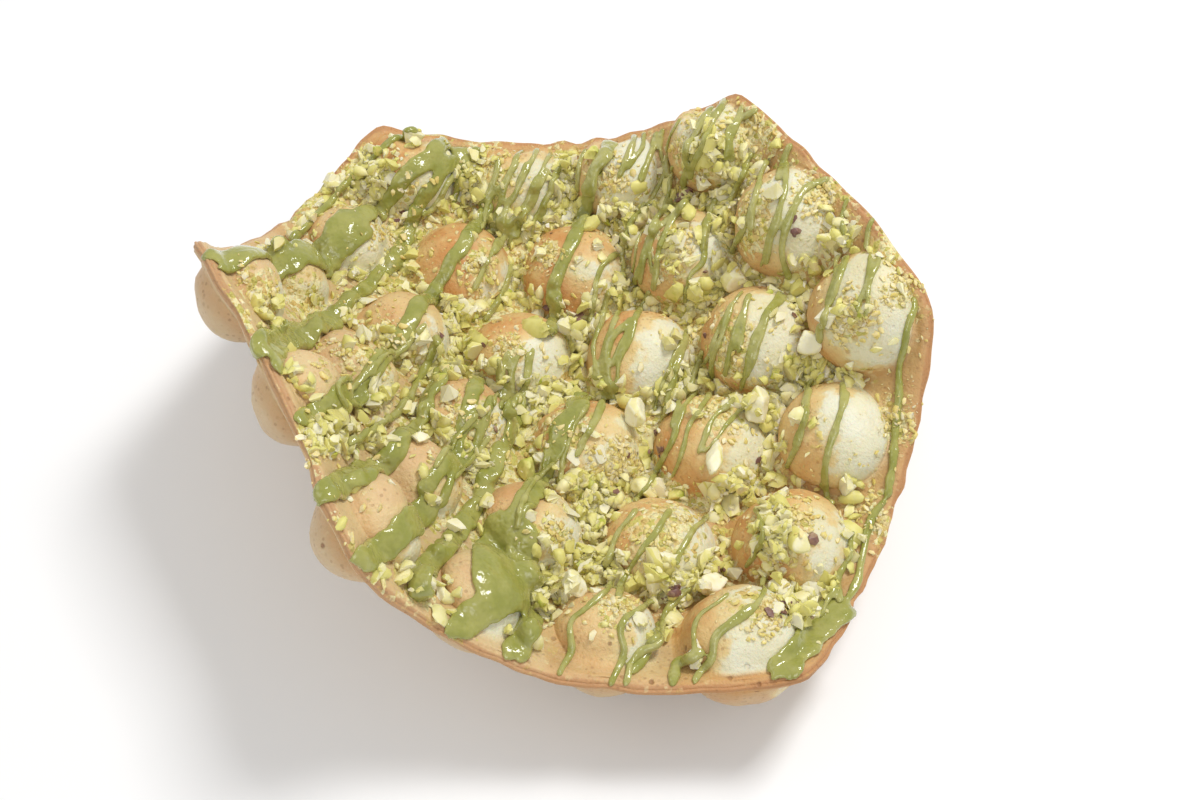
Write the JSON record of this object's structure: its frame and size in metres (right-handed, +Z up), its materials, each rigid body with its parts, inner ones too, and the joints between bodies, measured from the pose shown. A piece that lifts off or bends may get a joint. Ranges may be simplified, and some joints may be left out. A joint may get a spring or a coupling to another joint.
{
  "type": "bubble waffle",
  "caption": "Bubble waffle sagging like a trough: round bubbles in a six-sided thin web with a flange, and chopped nut pieces lying in its grooves.",
  "frame": {"origin": "on the resting plane, under the middle of the bounding box", "axes": "+Z up out of the trough, +X along the rows of bubbles and along the trough, +Y across the rows towards the side where the bubbles are larger"},
  "size_m": [0.1916, 0.1538, 0.0694],
  "materials": {
    "waffle_crust": "matte, golden brown, browner at the web and flange and cream on one side of the bubbles",
    "nut_kernel": "matt, pale yellow-green"
  },
  "bodies": {
    "root": {"waffle": "waffle_crust", "nut_01": "nut_kernel", "nut_02": "nut_kernel", "nut_03": "nut_kernel", "nut_04": "nut_kernel", "nut_05": "nut_kernel", "nut_06": "nut_kernel", "nut_07": "nut_kernel", "nut_08": "nut_kernel", "nut_09": "nut_kernel", "nut_10": "nut_kernel", "nut_11": "nut_kernel", "nut_12": "nut_kernel", "nut_13": "nut_kernel", "nut_14": "nut_kernel", "nut_15": "nut_kernel", "nut_16": "nut_kernel", "nut_17": "nut_kernel", "nut_18": "nut_kernel", "nut_19": "nut_kernel", "nut_20": "nut_kernel"}
  },
  "joints": []
}
